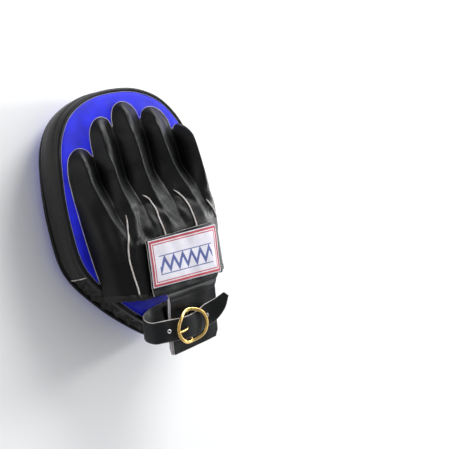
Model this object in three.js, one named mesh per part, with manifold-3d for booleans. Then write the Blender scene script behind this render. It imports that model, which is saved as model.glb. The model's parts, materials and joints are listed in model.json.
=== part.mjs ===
// A focus mitt: a coach's striking pad worn on the right hand, in millimetres.
// The mitt lies on its strike face. +Z points from the strike face to the hand side, +Y from the wrist to the
// fingertips, +X towards the little finger. The origin is the centre of the round target patch, on its outer face.

import * as THREE from "three";
import Module from "manifold-3d";
import { mergeVertices } from "three/addons/utils/BufferGeometryUtils.js";

const wasm = await Module();
wasm.setup();

// ---------- driving dimensions ----------

const GAP = 0.3; // between neighbouring pieces
const LEATHER = 2; // cover leather
const TARGET = { radius: 31.5, thick: 1.6 };
const FACE_FLAT = 0.32; // share of the way to the edge where the strike face is flat
const CROWN = 15; // how far the strike face stands proud of its seam
const GUSSET = 40; // height of the side wall between the two seams
const PIPING = 2; // radius of the piping cord
const RIM = PIPING + 2 * GAP; // how far the panels stop short of the seam line

const FACE_Z = TARGET.thick + GAP; // outer face of the strike leather at its flat middle
const FRONT_SEAM_Z = FACE_Z + CROWN;
const REAR_SEAM_Z = FRONT_SEAM_Z + GUSSET;
const BACK_Z = REAR_SEAM_Z + LEATHER; // outer face of the back panel, where the hand lies

const GLOVE_WALL = 2.2;
const KNUCKLE_Y = 8; // where the finger stalls end and the hand cover starts
const MOUTH = { footY: -74, topY: -87, beadRadius: 1.3 };
const FLAP = { left: -38, right: 60, top: -30, bottom: -90.8, thick: 2.4 };
const LABEL = { left: -31, right: 55, top: -34, bottom: -84, thick: 0.8 };
const TAB = {
  left: -26,
  right: 40,
  skewLeft: 9,
  skewRight: 4,
  hingeY: -91.5,
  hingeGap: 0.7,
  endY: -155,
  drop: 15,
};
const TAB_LAYERS = { lining: 1.6, core: 1.2, outer: 1.8 };
const STRAP = { width: 25, thick: 2.5, cutX: -34 };
const BUCKLE = { x: -7, y: -130, turn: 3, radius: 18, reach: 20, wire: 1.8, barRadius: 1.3, rise: 7.9 };
const CHAPE = { width: 16, thick: 1.2, tail: 19, slot: 6.4 };

// ---------- materials ----------

const finish = (color, roughness, metalness = 0) =>
  new THREE.MeshStandardMaterial({ color, roughness, metalness });
const blueLeather = finish(0x1018c8, 0.45);
const blackLeather = finish(0x141516, 0.35);
const whiteLeather = finish(0xf2f2ee, 0.5);
const rawEdge = finish(0xd9d2cc, 0.9);
const foam = finish(0x3a3a3c, 0.95);
const wovenLabel = finish(0xe9e6ea, 0.8);
const felt = finish(0xc9c3bd, 1);
const brass = finish(0xc9a24a, 0.25, 1);
const nickel = finish(0xb9bcc0, 0.25, 1);

const root = new THREE.Group();

// ---------- geometry helpers ----------

// Six times the signed volume inside an indexed geometry.
function signedVolume(geometry) {
  const position = geometry.getAttribute("position");
  const index = geometry.getIndex().array;
  const [a, b, c] = [0, 1, 2].map(() => new THREE.Vector3());
  let sum = 0;
  for (let i = 0; i < index.length; i += 3) {
    a.fromBufferAttribute(position, index[i]);
    b.fromBufferAttribute(position, index[i + 1]);
    c.fromBufferAttribute(position, index[i + 2]);
    sum += a.dot(b.cross(c));
  }
  return sum;
}

// The geometry with shared vertices merged and its faces pointing out.
function closed(geometry) {
  const bare = geometry.clone();
  bare.deleteAttribute("normal");
  bare.deleteAttribute("uv");
  const merged = mergeVertices(bare, 1e-4);
  if (signedVolume(merged) < 0) {
    const index = merged.getIndex().array;
    for (let i = 0; i < index.length; i += 3) {
      [index[i + 1], index[i + 2]] = [index[i + 2], index[i + 1]];
    }
  }
  return merged;
}

function solid(geometry) {
  const merged = closed(geometry);
  return new wasm.Manifold(
    new wasm.Mesh({
      numProp: 3,
      vertProperties: merged.getAttribute("position").array,
      triVerts: new Uint32Array(merged.getIndex().array),
    }),
  );
}

function geometryOf(manifold) {
  const mesh = manifold.getMesh();
  const geometry = new THREE.BufferGeometry();
  geometry.setAttribute("position", new THREE.BufferAttribute(mesh.vertProperties, 3));
  geometry.setIndex(new THREE.BufferAttribute(mesh.triVerts, 1));
  return geometry;
}

function add(name, geometry, material, parent = root) {
  const body = closed(geometry);
  body.computeVertexNormals();
  const mesh = new THREE.Mesh(body, material);
  mesh.name = name;
  parent.add(mesh);
  return mesh;
}

// Moves every vertex of a geometry to where place(x, y, z) says.
function warped(geometry, place) {
  const position = geometry.getAttribute("position");
  for (let i = 0; i < position.count; i += 1) {
    const p = place(position.getX(i), position.getY(i), position.getZ(i));
    position.setXYZ(i, p.x, p.y, p.z);
  }
  return geometry;
}

// A closed sheet: place(across, along, through) with each of the three from 0 to 1.
const sheet = (acrossSteps, alongSteps, place) =>
  warped(new THREE.BoxGeometry(1, 1, 1, acrossSteps, alongSteps, 1), (x, y, z) =>
    place(x + 0.5, y + 0.5, z + 0.5),
  );

// A profile of (share of the way out, height) points spun once round: place(share, turn, height).
const spun = (profile, steps, place) =>
  warped(
    new THREE.LatheGeometry(profile.map(([r, h]) => new THREE.Vector2(r, h)), steps),
    (x, y, z) => place(Math.hypot(x, z), Math.atan2(x, z) / (2 * Math.PI), y),
  );

const vec = (x, y, z = 0) => new THREE.Vector3(x, y, z);
const mix = THREE.MathUtils.lerp;
const box = (low, high) =>
  new THREE.BoxGeometry(...high.map((h, i) => h - low[i])).translate(
    ...high.map((h, i) => (h + low[i]) / 2),
  );

// A round cord along a curve.
function cordAlong(curve, radius, sides, steps) {
  const section = new THREE.Shape();
  section.absarc(0, 0, radius, 0, 2 * Math.PI);
  return new THREE.ExtrudeGeometry(new THREE.Shape(section.getPoints(sides / 4)), {
    extrudePath: curve,
    steps,
    bevelEnabled: false,
    curveSegments: sides,
  });
}

// ---------- the pad's outline ----------

// Right half of the seam line, from the top to the bottom tip.
const HALF_OUTLINE = [
  [0, 141],
  [34, 137],
  [62, 122.5],
  [81, 97],
  [92, 58],
  [97.8, 5],
  [94, -43],
  [64, -88],
  [31, -121],
  [13, -134.5],
  [0, -138],
];
const outlinePoints = [
  ...HALF_OUTLINE,
  ...HALF_OUTLINE.slice(1, -1)
    .reverse()
    .map(([x, y]) => [-x, y]),
].map(([x, y]) => vec(x, y));
const outline = new THREE.CatmullRomCurve3(outlinePoints, true, "centripetal");
outline.arcLengthDivisions = 800;

// The seam line at turn t (0 to 1, clockwise from the top), moved outwards by offset.
function edge(t, offset) {
  const turn = ((t % 1) + 1) % 1;
  const point = outline.getPointAt(turn);
  const along = outline.getTangentAt(turn);
  return vec(point.x - along.y * offset, point.y + along.x * offset);
}

// Rim of the panels, as distance from the origin against direction, to tell how far out a point lies.
const RIM_SAMPLES = 360;
const rimPolar = Array.from({ length: RIM_SAMPLES }, (_, i) => {
  const p = edge(i / RIM_SAMPLES, -RIM);
  return { angle: Math.atan2(p.x, p.y), radius: Math.hypot(p.x, p.y) };
}).sort((a, b) => a.angle - b.angle);

// 0 at the origin and 1 at the rim of the panels.
function shareOut(x, y) {
  const angle = Math.atan2(x, y);
  const after = rimPolar.findIndex((s) => s.angle > angle);
  const b = rimPolar[after < 0 ? 0 : after];
  const a = rimPolar[(after < 1 ? RIM_SAMPLES : after) - 1];
  const span = (b.angle - a.angle + 2 * Math.PI) % (2 * Math.PI);
  const part = ((angle - a.angle + 2 * Math.PI) % (2 * Math.PI)) / span;
  return Math.hypot(x, y) / mix(a.radius, b.radius, part);
}

// Height of the strike leather's outer face at a share of the way out.
const faceHeight = (share) =>
  FACE_Z + (CROWN - PIPING) * Math.max(0, (share - FACE_FLAT) / (1 - FACE_FLAT)) ** 2.3;

// ---------- strike side ----------

const OUTLINE_STEPS = 72;
const FACE_RINGS = [FACE_FLAT, 0.5, 0.65, 0.78, 0.9, 1];

function domedShell(outerLift, innerLift, inset) {
  const outer = FACE_RINGS.map((r) => [r, faceHeight(r) + outerLift]);
  const inner = FACE_RINGS.map((r) => [r, faceHeight(r) + innerLift]).reverse();
  const profile = [[0, FACE_Z + outerLift], ...outer, ...inner, [0, FACE_Z + innerLift]];
  return spun(profile, OUTLINE_STEPS, (share, turn, height) => {
    const rim = edge(turn, -inset);
    return vec(rim.x * share, rim.y * share, height);
  });
}
add("strike_face", domedShell(0, LEATHER, RIM), blueLeather);

add(
  "target_patch",
  spun([[0, 0], [1, 0], [1, TARGET.thick], [0, TARGET.thick]], 48, (share, turn, height) =>
    vec(
      TARGET.radius * share * Math.sin(turn * 2 * Math.PI),
      TARGET.radius * share * Math.cos(turn * 2 * Math.PI),
      height,
    ),
  ),
  whiteLeather,
);

// An oval patch that follows the crown of the strike face, between two depths below its outer face.
function ovalPatch({ x, y, halfWidth, halfHeight }, shallow, deep) {
  const rings = [0, 0.35, 0.7, 1];
  const profile = [
    ...rings.map((r) => [r, deep]),
    ...rings.map((r) => [r, shallow]).reverse(),
  ];
  return spun(profile, 36, (share, turn, depth) => {
    const px = x + halfWidth * share * Math.sin(turn * 2 * Math.PI);
    const py = y + halfHeight * share * Math.cos(turn * 2 * Math.PI);
    return vec(px, py, faceHeight(shareOut(px, py)) - depth);
  });
}
const BADGE_LAYER = 0.6;
const badgeBacking = { x: -1.5, y: 89, halfWidth: 50, halfHeight: 33.5 };
const badgeDisc = { x: 0, y: 87.5, halfWidth: 45.5, halfHeight: 30 };
add("badge_backing", ovalPatch(badgeBacking, GAP, GAP + BADGE_LAYER), blackLeather);
add("badge_disc", ovalPatch(badgeDisc, 2 * GAP + BADGE_LAYER, 2 * (GAP + BADGE_LAYER)), whiteLeather);

// ---------- foam core ----------

const FOAM_INSET = RIM + 1;
const impactTop = FRONT_SEAM_Z + 4;
const coreTop = impactTop + 16;
function domedFoam() {
  const lift = LEATHER + GAP + 0.4;
  const outer = FACE_RINGS.map((r) => [r, faceHeight(r) + lift]);
  const profile = [[0, FACE_Z + lift], ...outer, [1, impactTop], [0, impactTop]];
  return spun(profile, OUTLINE_STEPS, (share, turn, height) => {
    const rim = edge(turn, -FOAM_INSET);
    return vec(rim.x * share, rim.y * share, height);
  });
}
const slab = (low, high, inset) =>
  spun([[0, low], [1, low], [1, high], [0, high]], OUTLINE_STEPS, (share, turn, height) => {
    const rim = edge(turn, -inset);
    return vec(rim.x * share, rim.y * share, height);
  });
add("impact_foam", domedFoam(), foam);
add("core_foam", slab(impactTop + GAP, coreTop, FOAM_INSET), foam);
add("rear_foam", slab(coreTop + GAP, REAR_SEAM_Z - GAP, FOAM_INSET), foam);
add("back_panel", slab(REAR_SEAM_Z, BACK_Z, RIM), blueLeather);

// ---------- side walls and piping ----------

const GUSSET_BULGE = 1.6;
const GUSSET_SEAM = 0.3306; // turn at which the side gusset is sewn to the heel gusset
const GUSSET_ENDS = [FRONT_SEAM_Z + RIM, REAR_SEAM_Z - RIM];

const wall = (fromTurn, toTurn, steps) =>
  sheet(steps, 3, (along, up, through) => {
    const bulge = GUSSET_BULGE * Math.sin(Math.PI * up);
    const rim = edge(mix(fromTurn, toTurn, along), bulge - LEATHER * (1 - through));
    return vec(rim.x, rim.y, mix(...GUSSET_ENDS, up));
  });
const SEAM_CLEAR = 0.0006; // half the gap between the two gussets, in turns
add("side_gusset", wall(-GUSSET_SEAM + SEAM_CLEAR, GUSSET_SEAM - SEAM_CLEAR, 54), blackLeather);
add("heel_gusset", wall(GUSSET_SEAM + SEAM_CLEAR, 1 - GUSSET_SEAM - SEAM_CLEAR, 22), blackLeather);

// A cord along the whole seam line, at a height.
const piping = (height) =>
  warped(new THREE.TorusGeometry(10, PIPING, 6, OUTLINE_STEPS), (x, y, z) => {
    const rim = edge(Math.atan2(x, y) / (2 * Math.PI), Math.hypot(x, y) - 10);
    return vec(rim.x, rim.y, height + z);
  });
add("front_piping", piping(FRONT_SEAM_Z), blackLeather);
add("rear_piping", piping(REAR_SEAM_Z), blackLeather);

// ---------- finger stalls ----------

const STALLS = [
  { name: "thumb_stall", tip: [-63.5, 84], baseX: -65, width: 35, height: 25 },
  { name: "index_stall", tip: [-27.5, 114], baseX: -30, width: 31, height: 25 },
  { name: "middle_stall", tip: [9, 126], baseX: 5.5, width: 33, height: 26 },
  { name: "ring_stall", tip: [45, 113], baseX: 43.5, width: 31, height: 25 },
  { name: "little_stall", tip: [75, 84], baseX: 78.5, width: 25.5, height: 23 },
];

// A closed finger-shaped form, half sunk in the back panel, from below the base to its round tip.
function fingerForm({ tip, baseX, width, height }, wallIn, extraBase) {
  const halfWidth = width / 2 - wallIn;
  const top = height - wallIn;
  const start = KNUCKLE_Y - extraBase;
  const length = tip[1] - wallIn - halfWidth - start;
  const form = new THREE.CapsuleGeometry(1, 1, 5, 16, 3);
  return warped(form, (x, y, z) => {
    const cap = Math.max(0, Math.abs(y) - 0.5);
    const along = y > 0 ? start + length + cap * halfWidth : start - cap * halfWidth;
    const middle = THREE.MathUtils.clamp(y + 0.5, 0, 1);
    const py = mix(along, start + length * middle, cap > 0 ? 0 : 1);
    const px = mix(baseX, tip[0], (py - KNUCKLE_Y) / (tip[1] - KNUCKLE_Y));
    return vec(px + x * halfWidth, py, BACK_Z + z * top);
  });
}
const HUGE = 400;
const underBack = solid(box([-HUGE, -HUGE, -HUGE], [HUGE, HUGE, BACK_Z + GAP]));
const behindKnuckles = solid(box([-HUGE, -HUGE, -HUGE], [HUGE, KNUCKLE_Y + GAP, HUGE]));
for (const stall of STALLS) {
  const outer = solid(fingerForm(stall, 0, 10));
  const inner = solid(fingerForm(stall, GLOVE_WALL, 20));
  const shell = outer.subtract(inner).subtract(underBack).subtract(behindKnuckles);
  add(stall.name, geometryOf(shell), blackLeather);
}

// ---------- hand cover ----------

// The cover is an arch over the back of the hand. Its feet stand on the back panel.
const coverAt = (y) => {
  const down = (KNUCKLE_Y - y) / (KNUCKLE_Y - MOUTH.topY);
  return {
    left: mix(-83.5, -79.5, down),
    right: mix(92, 78.5, down),
    height: 27 + 9 * Math.sin((Math.PI / 2) * Math.min(1, down * 2.2)) - 1.5 * down,
  };
};

// A point of the arch: turn 0 is its left foot and 1 its right foot, lift is the distance out from the outer face.
function arch(turn, y, lift) {
  const { left, right, height } = coverAt(y);
  const angle = Math.PI * (1 - turn);
  const flat = (v) => Math.sign(v) * Math.abs(v) ** 0.72;
  const x = (left + right) / 2 + ((right - left) / 2 + lift) * flat(Math.cos(angle));
  return vec(x, y, BACK_Z + GAP + (height + lift) * flat(Math.sin(angle)));
}

// Turn of the arch at which its outer face stands at x.
function turnAt(x, y) {
  const { left, right } = coverAt(y);
  const share = (2 * x - left - right) / (right - left);
  return 1 - Math.acos(Math.sign(share) * Math.abs(share) ** (1 / 0.72)) / Math.PI;
}

// The mouth's edge is further back on top of the wrist than at the feet.
const mouthY = (turn) => mix(MOUTH.footY, MOUTH.topY, Math.sin(Math.PI * turn) ** 0.8);

const THENAR_TURN = 0.285;
const coverSheet = (from, to, steps) =>
  sheet(steps, 7, (across, along, through) => {
    const turn = mix(from, to, across);
    return arch(turn, mix(KNUCKLE_Y, mouthY(turn), along), -GLOVE_WALL * (1 - through));
  });
const TURN_GAP = 0.0012;
add("thenar_panel", coverSheet(0, THENAR_TURN - TURN_GAP, 7), blackLeather);
add("hand_back_panel", coverSheet(THENAR_TURN + TURN_GAP, 1, 16), blackLeather);

// Binding round the mouth's edge, a bead behind it.
const beadPoint = (turn) => {
  const p = arch(turn, mouthY(turn), -GLOVE_WALL / 2);
  return p.add(vec(0, -(MOUTH.beadRadius + 2 * GAP), 0));
};
const beadCurve = new THREE.CatmullRomCurve3(
  Array.from({ length: 19 }, (_, i) => beadPoint(mix(0.035, 0.965, i / 18))),
);
add("mouth_binding", cordAlong(beadCurve, MOUTH.beadRadius, 8, 36), blackLeather);

// ---------- raw leather edges of the seams between the fingers ----------

const SEAM_EDGE = { width: 1.5, height: 2.2 };
const SEAMS = [
  { name: "thumb_seam_edge", from: [-47, 4], to: [-53.5, -80] },
  { name: "index_seam_edge", from: [-15, 6], to: [-1, FLAP.top + 1] },
  { name: "middle_seam_edge", from: [26, 6], to: [41, FLAP.top + 1] },
  { name: "ring_seam_edge", from: [64, 2], to: [71, FLAP.top + 1] },
];
for (const { name, from, to } of SEAMS) {
  const strip = sheet(1, 8, (across, along, through) => {
    const x = mix(from[0], to[0], along ** 0.7) + SEAM_EDGE.width * (across - 0.5);
    const y = mix(from[1], to[1], along);
    return arch(turnAt(x, y), y, GAP + SEAM_EDGE.height * through);
  });
  add(name, strip, rawEdge);
}

// ---------- wrist flap and label ----------

// A sheet lying over the hand cover, between two heights above it.
const overCover = ({ left, right, top, bottom }, low, high, steps) =>
  sheet(steps, 6, (across, along, through) => {
    const y = mix(top, bottom, along);
    const x = mix(left, right, across);
    return arch(turnAt(x, y), y, mix(low, high, through));
  });
add("wrist_flap", overCover(FLAP, GAP, GAP + FLAP.thick, 10), blackLeather);
const labelLow = 2 * GAP + FLAP.thick;
add("label", overCover(LABEL, labelLow, labelLow + LABEL.thick, 10), wovenLabel);

// ---------- wrist tab ----------

const tabStart = TAB.hingeY - TAB.hingeGap;
const tabRootZ = arch(0.5, FLAP.bottom, GAP).z;
const tabSlope = Math.atan2(TAB.drop, tabStart - TAB.endY);
const tabLength = (tabStart - TAB.endY) / Math.cos(tabSlope);

// The tab's own frame: x across, y up the tab to its root, z out of it, from its inner face.
const tab = new THREE.Group();
tab.position.set(0, tabStart, tabRootZ);
tab.rotation.x = tabSlope;
root.add(tab);

const CORNER = 5;
function tabOutline() {
  const { left, right, skewLeft, skewRight } = TAB;
  const shape = new THREE.Shape();
  shape.moveTo(left, 0);
  shape.lineTo(left - skewLeft, -tabLength + CORNER);
  shape.lineTo(left - skewLeft + CORNER / 2, -tabLength);
  shape.lineTo(right - skewRight - CORNER, -tabLength + 2);
  shape.lineTo(right - skewRight, -tabLength + CORNER + 3);
  shape.lineTo(right, 0);
  return shape;
}
let layerZ = 0;
for (const [layer, thick] of Object.entries(TAB_LAYERS)) {
  const geometry = new THREE.ExtrudeGeometry(tabOutline(), { depth: thick, bevelEnabled: false });
  geometry.translate(0, 0, layerZ);
  add(`tab_${layer}`, geometry, layer === "core" ? felt : blackLeather, tab);
  layerZ += thick + GAP;
}
const tabTop = layerZ; // where the chape lies, a gap above the tab's outer face

// ---------- buckle ----------

// The buckle's frame: x along the strap towards its free end, y along the bar, z out of the tab.
const buckleDown = (tabStart - BUCKLE.y) / Math.cos(tabSlope);
const buckle = new THREE.Group();
buckle.position.set(BUCKLE.x, -buckleDown, tabTop);
buckle.rotation.z = THREE.MathUtils.degToRad(BUCKLE.turn);
tab.add(buckle);

const barZ = CHAPE.thick + GAP + BUCKLE.barRadius;
const ringTop = barZ + BUCKLE.rise;
const ring = warped(new THREE.TorusGeometry(BUCKLE.radius, BUCKLE.wire, 8, 48), (x, y, z) => {
  const side = Math.abs(x) / BUCKLE.radius;
  const across = (x * BUCKLE.reach) / BUCKLE.radius;
  return vec(across, y, z + mix(barZ, ringTop, Math.sin((Math.PI / 2) * Math.min(side / 0.8, 1)) ** 1.5));
});
const bar = new THREE.CylinderGeometry(BUCKLE.barRadius, BUCKLE.barRadius, 2 * BUCKLE.radius, 12);
bar.translate(0, 0, barZ);
add("buckle_frame", geometryOf(solid(ring).add(solid(bar))), brass, buckle);

// The chape wraps the bar and lies back on the tab, with a slot for the tongue.
function chapeProfile() {
  const inner = BUCKLE.barRadius + GAP;
  const outer = inner + CHAPE.thick;
  const shape = new THREE.Shape();
  shape.moveTo(CHAPE.tail, barZ - outer);
  shape.lineTo(CHAPE.tail, barZ - outer + 2 * CHAPE.thick + GAP);
  shape.lineTo(inner + 4, barZ - outer + 2 * CHAPE.thick + GAP);
  shape.absarc(0, barZ, outer, Math.PI / 4, 1.5 * Math.PI, false);
  shape.closePath();
  const hole = new THREE.Path();
  hole.absarc(0, barZ, inner, 0, 2 * Math.PI);
  shape.holes.push(hole);
  return shape;
}
const chapeSolid = (width) =>
  solid(
    new THREE.ExtrudeGeometry(chapeProfile(), {
      depth: width,
      bevelEnabled: false,
      curveSegments: 10,
    })
      .translate(0, 0, -width / 2)
      .rotateX(Math.PI / 2),
  );
const tongueSlot = solid(box([-8, -CHAPE.slot / 2, -5], [5, CHAPE.slot / 2, 12]));
add("buckle_chape", geometryOf(chapeSolid(CHAPE.width).subtract(tongueSlot)), blackLeather, buckle);

const RIVET = { radius: 2.4, height: 0.8, x: 14, y: 5 };
for (const side of [-1, 1]) {
  const rivet = new THREE.CylinderGeometry(RIVET.radius * 0.8, RIVET.radius, RIVET.height, 16);
  rivet.rotateX(Math.PI / 2);
  const top = barZ - BUCKLE.barRadius - GAP + CHAPE.thick + GAP;
  rivet.translate(RIVET.x, side * RIVET.y, top + GAP + RIVET.height / 2);
  add(side < 0 ? "chape_rivet_left" : "chape_rivet_right", rivet, nickel, buckle);
}

// The tongue loops round the bar, comes up through the strap and rests on the ring.
const TONGUE = { radius: 1.1, loopWidth: 4.4 };
const tonguePath = new THREE.CatmullRomCurve3([
  vec(-0.6, 0, barZ + 2.4),
  vec(-3, 0, barZ + 3.2),
  vec(-5.4, 0, barZ + 5.6),
  vec(-8.6, 0, barZ + 8.6),
  vec(-14.5, 0, ringTop + BUCKLE.wire + TONGUE.radius - 0.3),
  vec(-22.6, 0, ringTop + BUCKLE.wire + TONGUE.radius + GAP),
]);
const loop = (radius) =>
  solid(
    new THREE.CylinderGeometry(radius, radius, TONGUE.loopWidth, 16).translate(0, 0, barZ),
  );
const loopBore = solid(
  new THREE.CylinderGeometry(BUCKLE.barRadius + GAP / 2, BUCKLE.barRadius + GAP / 2, 10, 16).translate(
    0,
    0,
    barZ,
  ),
);
const tongue = loop(BUCKLE.barRadius + 1.4)
  .add(solid(cordAlong(tonguePath, TONGUE.radius, 8, 14)))
  .subtract(loopBore);
add("buckle_tongue", geometryOf(tongue), brass, buckle);

// ---------- strap ----------

// The strap's middle line, in the buckle's frame, for the run through the buckle.
const strapRun = new THREE.CatmullRomCurve3([
  vec(STRAP.cutX + GAP, 3.2, 1.8),
  vec(-24, 1.8, 3.1),
  vec(-13, 0.4, 5.6),
  vec(-5, 0, 7.3),
  vec(2, 0, 7.6),
  vec(11, 0.4, 6.4),
  vec(22, 2.2, 5.2),
  vec(32, 6, 7.5),
  vec(40, 12, 13),
  vec(45, 21, 20),
]);
const TIP_SHARE = 0.72; // where the strap starts to narrow to its point
const leaf = (curve, width, steps, narrowFrom = 1) =>
  sheet(2, steps, (across, along, through) => {
    const p = curve.getPointAt(along);
    const t = curve.getTangentAt(along);
    const narrow = Math.max(0, along - narrowFrom) / (1 - narrowFrom || 1);
    const half = (width / 2) * Math.sqrt(1 - 0.94 * narrow ** 1.6);
    const side = vec(-t.y, t.x, 0).normalize();
    const out = t.clone().cross(side);
    p.addScaledVector(side, mix(-half, half, across));
    return p.addScaledVector(out, STRAP.thick * (through - 0.5));
  });
const STRAP_HOLES = { buckled: -3.2, free: [-27.5, 24.5] };
const pointOnRun = (x) => {
  let share = 0;
  while (strapRun.getPointAt(share).x < x && share < 0.999) share += 0.001;
  return share;
};
let run = solid(leaf(strapRun, STRAP.width, 32, TIP_SHARE));
const tongueHole = { halfLength: 4.6, halfWidth: 1.7 };
run = run.subtract(
  solid(
    box(
      [STRAP_HOLES.buckled - tongueHole.halfLength, -tongueHole.halfWidth, 0],
      [STRAP_HOLES.buckled + tongueHole.halfLength, tongueHole.halfWidth, 20],
    ),
  ),
);
const HOLE_RADIUS = 1.5;
for (const x of STRAP_HOLES.free) {
  const bore = new THREE.CylinderGeometry(HOLE_RADIUS, HOLE_RADIUS, 16, 12);
  const { y, z } = strapRun.getPointAt(pointOnRun(x));
  run = run.subtract(solid(bore.rotateX(Math.PI / 2).translate(x, y, z)));
}
add("strap_run", geometryOf(run), blackLeather, buckle);

// Nickel eyelets round the strap's free holes, standing on its outer face.
const EYELET = { outer: 2.6, thick: 0.5 };
function eyelet(x) {
  const share = pointOnRun(x);
  const p = strapRun.getPointAt(share);
  const t = strapRun.getTangentAt(share);
  const ringShape = new THREE.Shape();
  ringShape.absarc(0, 0, EYELET.outer, 0, 2 * Math.PI);
  const hole = new THREE.Path();
  hole.absarc(0, 0, HOLE_RADIUS, 0, 2 * Math.PI);
  ringShape.holes.push(hole);
  const flat = new THREE.ExtrudeGeometry(ringShape, {
    depth: EYELET.thick,
    bevelEnabled: false,
    curveSegments: 10,
  });
  flat.rotateY(-Math.atan2(t.z, t.x));
  const lift = STRAP.thick / 2 + 2.2 * GAP;
  return flat.translate(p.x - t.z * lift, p.y, p.z + t.x * lift);
}
add("strap_eyelet_1", eyelet(STRAP_HOLES.free[0]), nickel, buckle);
add("strap_eyelet_2", eyelet(STRAP_HOLES.free[1]), nickel, buckle);

// The strap's other end is sewn flat to the back panel at the heel and curls up round the wrist.
root.updateMatrixWorld(true);
const joinLow = strapRun.getPointAt(0).applyMatrix4(buckle.matrixWorld);
const runStart = strapRun.getTangentAt(0);
const joinDirection = runStart.clone().transformDirection(buckle.matrixWorld);
const sewnZ = BACK_Z + GAP + STRAP.thick / 2;
const joinPoint = joinLow.clone().addScaledVector(joinDirection, -2 * GAP);
const strapCurl = new THREE.CatmullRomCurve3([
  vec(17, -117, sewnZ),
  vec(0, -117.3, sewnZ),
  vec(-20, -118, sewnZ),
  vec(-34, -118.4, sewnZ + 1.5),
  vec(-46, -119.5, sewnZ + 6.5),
  vec(-53, -121, sewnZ + 14.5),
  vec(-52.8, -122.7, mix(sewnZ, joinPoint.z, 0.76)),
  joinPoint.clone().addScaledVector(joinDirection, -6),
  joinPoint,
]);
const acrossStrap = vec(-runStart.y, runStart.x).transformDirection(buckle.matrixWorld);
const heelLeaf = sheet(2, 40, (across, along, through) => {
  const p = strapCurl.getPointAt(along);
  const t = strapCurl.getTangentAt(along);
  const lean = THREE.MathUtils.smoothstep(along, 0.35, 1);
  const side = vec(0, 1, 0).lerp(acrossStrap, lean).addScaledVector(t, -t.y * (1 - lean)).normalize();
  const out = t.clone().cross(side).normalize();
  return p
    .addScaledVector(side, STRAP.width * (across - 0.5))
    .addScaledVector(out, STRAP.thick * (through - 0.5));
});
add("strap_base", heelLeaf, blackLeather);

// A patch over the sewn end, which takes its load into the back panel.
const ANCHOR = { halfLength: 14, halfWidth: 10, thick: 1.2, x: 3, y: -117.2 };
add(
  "anchor_patch",
  box(
    [ANCHOR.x - ANCHOR.halfLength, ANCHOR.y - ANCHOR.halfWidth, sewnZ + STRAP.thick / 2 + GAP],
    [
      ANCHOR.x + ANCHOR.halfLength,
      ANCHOR.y + ANCHOR.halfWidth,
      sewnZ + STRAP.thick / 2 + GAP + ANCHOR.thick,
    ],
  ),
  blackLeather,
);

export default root;
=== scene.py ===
"""The looks of a leather focus mitt that lies on its strike face. Sizes are in millimetres."""

import json
from math import atan2, copysign, cos, exp, pi, radians, sin, tau

import bmesh
import bpy
import numpy as np
from mathutils import Matrix, Vector


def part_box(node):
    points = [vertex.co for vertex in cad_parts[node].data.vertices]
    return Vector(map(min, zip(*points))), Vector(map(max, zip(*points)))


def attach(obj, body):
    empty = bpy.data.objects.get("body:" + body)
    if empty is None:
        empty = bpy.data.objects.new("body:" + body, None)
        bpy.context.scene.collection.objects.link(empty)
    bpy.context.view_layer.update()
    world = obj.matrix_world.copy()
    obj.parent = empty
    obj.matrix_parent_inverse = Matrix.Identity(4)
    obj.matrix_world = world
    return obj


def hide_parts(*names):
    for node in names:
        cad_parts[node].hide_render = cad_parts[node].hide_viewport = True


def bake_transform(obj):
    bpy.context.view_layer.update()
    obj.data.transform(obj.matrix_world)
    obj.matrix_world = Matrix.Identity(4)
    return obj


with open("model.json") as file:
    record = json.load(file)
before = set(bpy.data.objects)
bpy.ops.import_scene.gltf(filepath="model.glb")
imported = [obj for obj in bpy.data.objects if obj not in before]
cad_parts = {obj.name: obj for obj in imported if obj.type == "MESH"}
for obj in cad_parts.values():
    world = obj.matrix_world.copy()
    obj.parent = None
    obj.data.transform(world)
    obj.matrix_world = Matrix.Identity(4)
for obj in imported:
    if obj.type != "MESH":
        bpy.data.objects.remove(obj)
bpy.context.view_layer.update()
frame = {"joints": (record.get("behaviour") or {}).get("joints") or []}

MM = 0.001


def low(node):
    """Height of a CAD node's lowest point."""
    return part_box(node)[0][2] / MM


def high(node):
    """Height of a CAD node's highest point."""
    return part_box(node)[1][2] / MM


# ---------- driving dimensions ----------

# Heights, from the CAD: strike face, the two seams of the walls, and the panel that the hand lies on.
FACE_Z = low("strike_face")
FRONT_SEAM = (low("front_piping") + high("front_piping")) / 2
REAR_SEAM = (low("rear_piping") + high("rear_piping")) / 2
BACK_Z = high("back_panel")

PIPING = 2.4
LEATHER = 2.0
FACE_FLAT = 0.32  # share of the strike face, from its centre, that is flat
TARGET_RADIUS = 31.5
GUSSET_SEAM = 0.3306  # turn round the seam line at which the side wall meets the heel wall
ROUND = 755  # length of the seam line
PUCKERS = 176  # small puckers that the stitches pull into the leather along it

KNUCKLE_Y = 8
MOUTH_FOOT_Y = -74
MOUTH_TOP_Y = -87
FLAP_LIFT = 2.4
FLAP_TOP_Y = -30
LABEL_SIZE = (93.0, 50.0)

# The wrist tab: hinge, slope, length, side edges at the hinge, and how far those lean over by its end.
TAB_TOP_Y = -92.2
TAB_Z = frame["joints"][0]["pos_m"][2] / MM
TAB_SLOPE = atan2(15, 62.8)
TAB_LENGTH = 64.5
TAB_END_Y = -157
TAB_LEFT, TAB_RIGHT = -26, 40
TAB_SKEW_LEFT, TAB_SKEW_RIGHT = 5.5, 4

STRAP_WIDTH = 25
STRAP_THICK = 2.5

# Right half of the pad's seam line, from the fingertips to the heel.
HALF_OUTLINE = [
    (0, 141), (34, 137), (62, 122.5), (81, 97), (92, 58), (97.8, 5),
    (94, -43), (64, -88), (31, -121), (13, -134.5), (0, -138),
]


# ---------- curves ----------


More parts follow.
